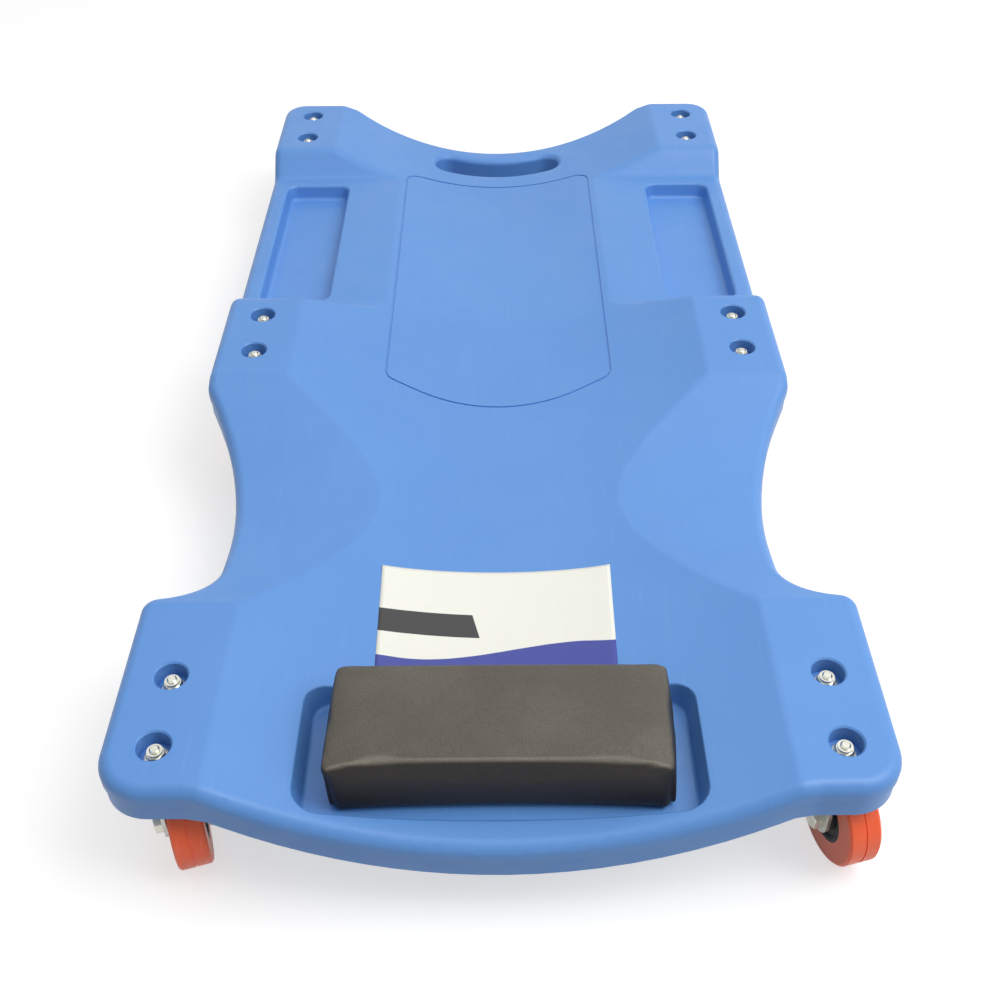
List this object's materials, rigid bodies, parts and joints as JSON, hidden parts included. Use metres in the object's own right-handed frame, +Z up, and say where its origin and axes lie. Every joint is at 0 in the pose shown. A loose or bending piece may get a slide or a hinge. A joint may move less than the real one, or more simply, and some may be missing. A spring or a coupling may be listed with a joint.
{
  "type": "mechanic's creeper",
  "caption": "Low six-wheeled board for lying under a vehicle, with a dished plastic deck, raised caster pads, a hand slot, two tool trays and a padded headrest.",
  "frame": {"origin": "on the floor, under the middle of the deck", "axes": "+Z up; +Y from the headrest end towards the hand slot end; +X to the right when looking along +Y"},
  "size_m": [0.452, 0.9, 0.106],
  "materials": {
    "deck_plastic": "satin moulded",
    "vinyl": "fine-grained upholstery vinyl",
    "foam": "open-cell foam",
    "board": "plywood",
    "zinc": "bright zinc plating",
    "hub_plastic": "moulded",
    "wheel_tread": "moulded polyurethane"
  },
  "bodies": {
    "deck": {"deck": "deck_plastic", "headrest_cover": "vinyl", "headrest_foam": "foam", "headrest_board": "board", "headrest_screws": "zinc", "headrest_washers": "zinc", "bearing_rings": "zinc", "race_cups": "zinc", "caster_bolts": "zinc", "caster_nuts": "zinc", "caster_washers": "zinc", "plate_head_left": "zinc", "kingpin_head_left": "zinc", "plate_head_right": "zinc", "kingpin_head_right": "zinc", "plate_mid_left": "zinc", "kingpin_mid_left": "zinc", "plate_mid_right": "zinc", "kingpin_mid_right": "zinc", "plate_foot_left": "zinc", "kingpin_foot_left": "zinc", "plate_foot_right": "zinc", "kingpin_foot_right": "zinc"},
    "swivel_head_left": {"fork_head_left": "zinc", "axle_bolt_head_left": "zinc", "axle_nut_head_left": "zinc", "axle_sleeve_head_left": "zinc"},
    "wheel_head_left": {"wheel_core_head_left": "hub_plastic", "tyre_head_left": "wheel_tread"},
    "swivel_head_right": {"fork_head_right": "zinc", "axle_bolt_head_right": "zinc", "axle_nut_head_right": "zinc", "axle_sleeve_head_right": "zinc"},
    "wheel_head_right": {"wheel_core_head_right": "hub_plastic", "tyre_head_right": "wheel_tread"},
    "swivel_mid_left": {"fork_mid_left": "zinc", "axle_bolt_mid_left": "zinc", "axle_nut_mid_left": "zinc", "axle_sleeve_mid_left": "zinc"},
    "wheel_mid_left": {"wheel_core_mid_left": "hub_plastic", "tyre_mid_left": "wheel_tread"},
    "swivel_mid_right": {"fork_mid_right": "zinc", "axle_bolt_mid_right": "zinc", "axle_nut_mid_right": "zinc", "axle_sleeve_mid_right": "zinc"},
    "wheel_mid_right": {"wheel_core_mid_right": "hub_plastic", "tyre_mid_right": "wheel_tread"},
    "swivel_foot_left": {"fork_foot_left": "zinc", "axle_bolt_foot_left": "zinc", "axle_nut_foot_left": "zinc", "axle_sleeve_foot_left": "zinc"},
    "wheel_foot_left": {"wheel_core_foot_left": "hub_plastic", "tyre_foot_left": "wheel_tread"},
    "swivel_foot_right": {"fork_foot_right": "zinc", "axle_bolt_foot_right": "zinc", "axle_nut_foot_right": "zinc", "axle_sleeve_foot_right": "zinc"},
    "wheel_foot_right": {"wheel_core_foot_right": "hub_plastic", "tyre_foot_right": "wheel_tread"}
  },
  "joints": [
    {"name": "swivel_head_left", "type": "hinge", "parent": "deck", "child": "swivel_head_left", "pos_m": [-0.195, -0.376, 0.07], "axis": [0, 0, 1], "continuous": true},
    {"name": "roll_head_left", "type": "hinge", "parent": "swivel_head_left", "child": "wheel_head_left", "pos_m": [-0.1869, -0.40249, 0.03175], "axis": [0.9563, 0.2924, 0], "continuous": true},
    {"name": "swivel_head_right", "type": "hinge", "parent": "deck", "child": "swivel_head_right", "pos_m": [0.195, -0.376, 0.07], "axis": [0, 0, 1], "continuous": true},
    {"name": "roll_head_right", "type": "hinge", "parent": "swivel_head_right", "child": "wheel_head_right", "pos_m": [0.20217, -0.40276, 0.03175], "axis": [0.9659, 0.2588, 0], "continuous": true},
    {"name": "swivel_mid_left", "type": "hinge", "parent": "deck", "child": "swivel_mid_left", "pos_m": [-0.195, 0.012, 0.07], "axis": [0, 0, 1], "continuous": true},
    {"name": "roll_mid_left", "type": "hinge", "parent": "swivel_mid_left", "child": "wheel_mid_left", "pos_m": [-0.20217, -0.01476, 0.03175], "axis": [0.9659, -0.2588, 0], "continuous": true},
    {"name": "swivel_mid_right", "type": "hinge", "parent": "deck", "child": "swivel_mid_right", "pos_m": [0.195, 0.012, 0.07], "axis": [0, 0, 1], "continuous": true},
    {"name": "roll_mid_right", "type": "hinge", "parent": "swivel_mid_right", "child": "wheel_mid_right", "pos_m": [0.19933, -0.01536, 0.03175], "axis": [0.9877, 0.1564, 0], "continuous": true},
    {"name": "swivel_foot_left", "type": "hinge", "parent": "deck", "child": "swivel_foot_left", "pos_m": [-0.195, 0.394, 0.07], "axis": [0, 0, 1], "continuous": true},
    {"name": "roll_foot_left", "type": "hinge", "parent": "swivel_foot_left", "child": "wheel_foot_left", "pos_m": [-0.18373, 0.36869, 0.03175], "axis": [0.9135, 0.4067, 0], "continuous": true},
    {"name": "swivel_foot_right", "type": "hinge", "parent": "deck", "child": "swivel_foot_right", "pos_m": [0.195, 0.394, 0.07], "axis": [0, 0, 1], "continuous": true},
    {"name": "roll_foot_right", "type": "hinge", "parent": "swivel_foot_right", "child": "wheel_foot_right", "pos_m": [0.18924, 0.36691, 0.03175], "axis": [0.9781, -0.2079, 0], "continuous": true}
  ]
}
